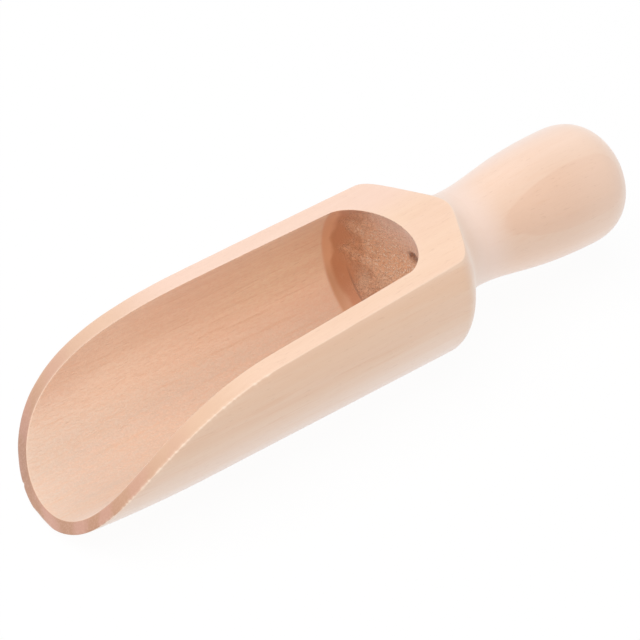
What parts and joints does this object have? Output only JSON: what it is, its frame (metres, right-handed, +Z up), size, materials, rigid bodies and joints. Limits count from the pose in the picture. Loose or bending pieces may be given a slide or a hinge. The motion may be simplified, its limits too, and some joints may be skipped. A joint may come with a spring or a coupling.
{
  "type": "wooden scoop",
  "caption": "Turned wooden scoop for dry goods: a bored cylindrical cup with its upper side cut away, dowelled to a short waisted handle.",
  "frame": {"origin": "on the surface that the scoop lies on, under the middle of its bounding box", "axes": "+X along the turning axis from the lip towards the handle, +Z up out of the mouth, Y across the cup"},
  "size_m": [0.12, 0.0336, 0.028],
  "materials": {
    "cup_wood": "pale close-grained hardwood, turned and sanded, unfinished",
    "handle_wood": "pale close-grained hardwood, turned and finely sanded, unfinished",
    "dowel_wood": "plain fluted beech"
  },
  "bodies": {
    "root": {"scoop_cup": "cup_wood", "handle": "handle_wood", "joining_dowel": "dowel_wood"}
  },
  "joints": []
}
